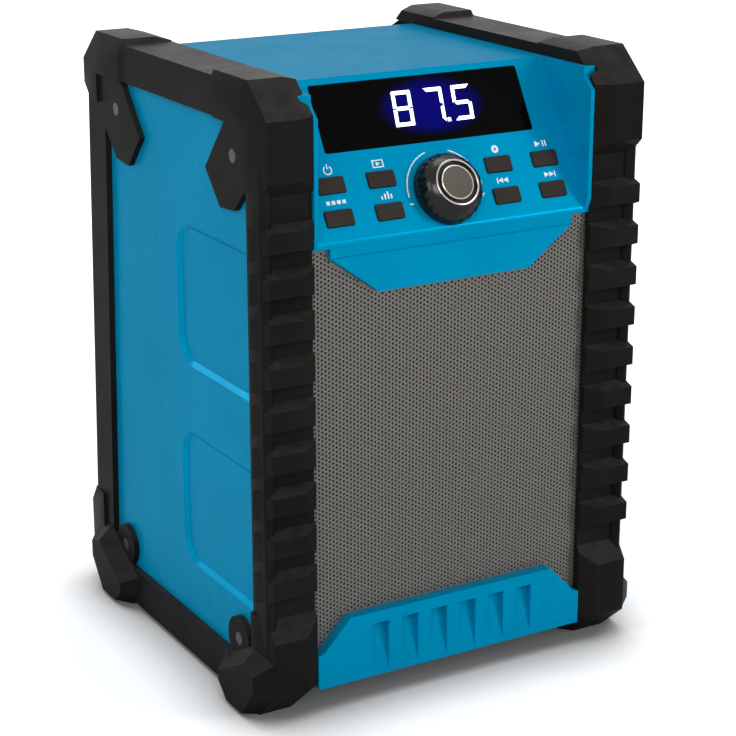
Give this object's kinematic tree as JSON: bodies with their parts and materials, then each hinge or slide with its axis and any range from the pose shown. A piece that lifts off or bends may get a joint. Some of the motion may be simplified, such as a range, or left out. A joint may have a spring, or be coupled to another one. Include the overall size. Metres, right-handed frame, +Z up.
{
  "type": "jobsite radio",
  "caption": "Jobsite radio: blue body between black bumper side frames, punched grille, sloped panel with display window, knob and push buttons, folding rear antenna.",
  "frame": {"origin": "middle of the footprint on the ground plane under the feet", "axes": "+X to the user's right as they face the radio, +Y to the back, +Z up; the grille faces -Y"},
  "size_m": [0.208, 0.2051, 0.29],
  "materials": {
    "frame_plastic": "satin black moulded bumper plastic",
    "shell_plastic": "satin blue moulded plastic",
    "grille_steel": "dark grey painted punched sheet",
    "speaker_cloth": "thin black speaker cloth",
    "dark_rubber": "black rubber",
    "speaker_steel": "black painted pressed steel",
    "cone_paper": "black treated cone",
    "coil_former": "thin aluminium former",
    "magnet": "ferrite ring",
    "screw_steel": "dark zinc screws and pins",
    "lens_plastic": "glossy smoked window",
    "module_plastic": "black display case",
    "circuit_board": "green circuit board",
    "inner_plastic": "black moulded plastic",
    "knob_plastic": "dark satin knob",
    "knob_metal": "bright plated ring",
    "knob_disc": "grey-brown satin disc",
    "bright_metal": "plated steel",
    "battery_case": "black battery case",
    "button_rubber": "dark grey-brown rubber keys"
  },
  "bodies": {
    "housing": {"side_frame_left": "frame_plastic", "side_frame_right": "frame_plastic", "front_shell": "shell_plastic", "rear_shell": "shell_plastic", "grille": "grille_steel", "grille_cloth": "speaker_cloth", "speaker_gasket": "dark_rubber", "speaker_basket": "speaker_steel", "speaker_surround": "dark_rubber", "speaker_cone": "cone_paper", "speaker_dust_cap": "cone_paper", "voice_coil": "coil_former", "speaker_magnet": "magnet", "speaker_screws": "screw_steel", "display_lens": "lens_plastic", "display_module": "module_plastic", "control_board": "circuit_board", "board_posts": "inner_plastic", "tact_switches": "inner_plastic", "volume_encoder": "inner_plastic", "hinge_pin": "screw_steel", "battery_tray": "inner_plastic", "battery_pack": "battery_case", "socket_plate": "inner_plastic", "power_socket": "inner_plastic", "audio_socket": "inner_plastic", "data_socket": "bright_metal", "main_board": "circuit_board", "board_feet": "inner_plastic", "antenna_base": "inner_plastic", "frame_screws": "screw_steel", "shell_screws": "screw_steel"},
    "power_button_key": {"power_button": "button_rubber"},
    "source_button_key": {"source_button": "button_rubber"},
    "preset_button_key": {"preset_button": "button_rubber"},
    "band_button_key": {"band_button": "button_rubber"},
    "pair_button_key": {"pair_button": "button_rubber"},
    "play_button_key": {"play_button": "button_rubber"},
    "previous_button_key": {"previous_button": "button_rubber"},
    "next_button_key": {"next_button": "button_rubber"},
    "volume_knob": {"knob_body": "knob_plastic", "knob_ring": "knob_metal", "knob_cap": "knob_disc", "encoder_shaft": "bright_metal"},
    "battery_cover": {"battery_door": "shell_plastic"},
    "socket_cover": {"socket_flap": "dark_rubber"},
    "antenna_swivel_set": {"antenna_swivel": "bright_metal", "elbow_pin_bar": "bright_metal"},
    "antenna_outer_tube": {"antenna_mast": "bright_metal"},
    "antenna_middle_tube": {"antenna_middle": "bright_metal"},
    "antenna_end_rod": {"antenna_tip": "bright_metal"}
  },
  "joints": [
    {"name": "power_button_press", "type": "slide", "parent": "housing", "child": "power_button_key", "axis": [0, 0.8616, -0.5075], "range_m": [0, 0.0006], "stiffness_N_per_m": 1500},
    {"name": "source_button_press", "type": "slide", "parent": "housing", "child": "source_button_key", "axis": [0, 0.8616, -0.5075], "range_m": [0, 0.0006], "stiffness_N_per_m": 1500},
    {"name": "preset_button_press", "type": "slide", "parent": "housing", "child": "preset_button_key", "axis": [0, 0.8616, -0.5075], "range_m": [0, 0.0006], "stiffness_N_per_m": 1500},
    {"name": "band_button_press", "type": "slide", "parent": "housing", "child": "band_button_key", "axis": [0, 0.8616, -0.5075], "range_m": [0, 0.0006], "stiffness_N_per_m": 1500},
    {"name": "pair_button_press", "type": "slide", "parent": "housing", "child": "pair_button_key", "axis": [0, 0.8616, -0.5075], "range_m": [0, 0.0006], "stiffness_N_per_m": 1500},
    {"name": "play_button_press", "type": "slide", "parent": "housing", "child": "play_button_key", "axis": [0, 0.8616, -0.5075], "range_m": [0, 0.0006], "stiffness_N_per_m": 1500},
    {"name": "previous_button_press", "type": "slide", "parent": "housing", "child": "previous_button_key", "axis": [0, 0.8616, -0.5075], "range_m": [0, 0.0006], "stiffness_N_per_m": 1500},
    {"name": "next_button_press", "type": "slide", "parent": "housing", "child": "next_button_key", "axis": [0, 0.8616, -0.5075], "range_m": [0, 0.0006], "stiffness_N_per_m": 1500},
    {"name": "volume_turn", "type": "hinge", "parent": "housing", "child": "volume_knob", "pos_m": [0, -0.08737, 0.23299], "axis": [0, -0.8616, 0.5075], "continuous": true},
    {"name": "battery_door_hinge", "type": "hinge", "parent": "housing", "child": "battery_cover", "pos_m": [0, 0.09067, 0.0358], "axis": [-1, 0, 0], "range_deg": [0, 100]},
    {"name": "socket_flap_hinge", "type": "hinge", "parent": "housing", "child": "socket_cover", "pos_m": [-0.022, 0.0832, 0.1885], "axis": [1, 0, 0], "range_deg": [0, 90], "stiffness_Nm_per_rad": 0.003},
    {"name": "antenna_swivel_turn", "type": "hinge", "parent": "housing", "child": "antenna_swivel_set", "pos_m": [0.052, 0.08196, 0.245], "axis": [0, 1, 0], "range_deg": [0, 90]},
    {"name": "antenna_elbow", "type": "hinge", "parent": "antenna_swivel_set", "child": "antenna_outer_tube", "pos_m": [0.052, 0.08786, 0.245], "axis": [0, 0, -1], "range_deg": [0, 90]},
    {"name": "antenna_middle_slide", "type": "slide", "parent": "antenna_outer_tube", "child": "antenna_middle_tube", "axis": [-1, 0, 0], "range_m": [0, 0.085]},
    {"name": "antenna_tip_slide", "type": "slide", "parent": "antenna_middle_tube", "child": "antenna_end_rod", "axis": [-1, 0, 0], "range_m": [0, 0.078]}
  ]
}
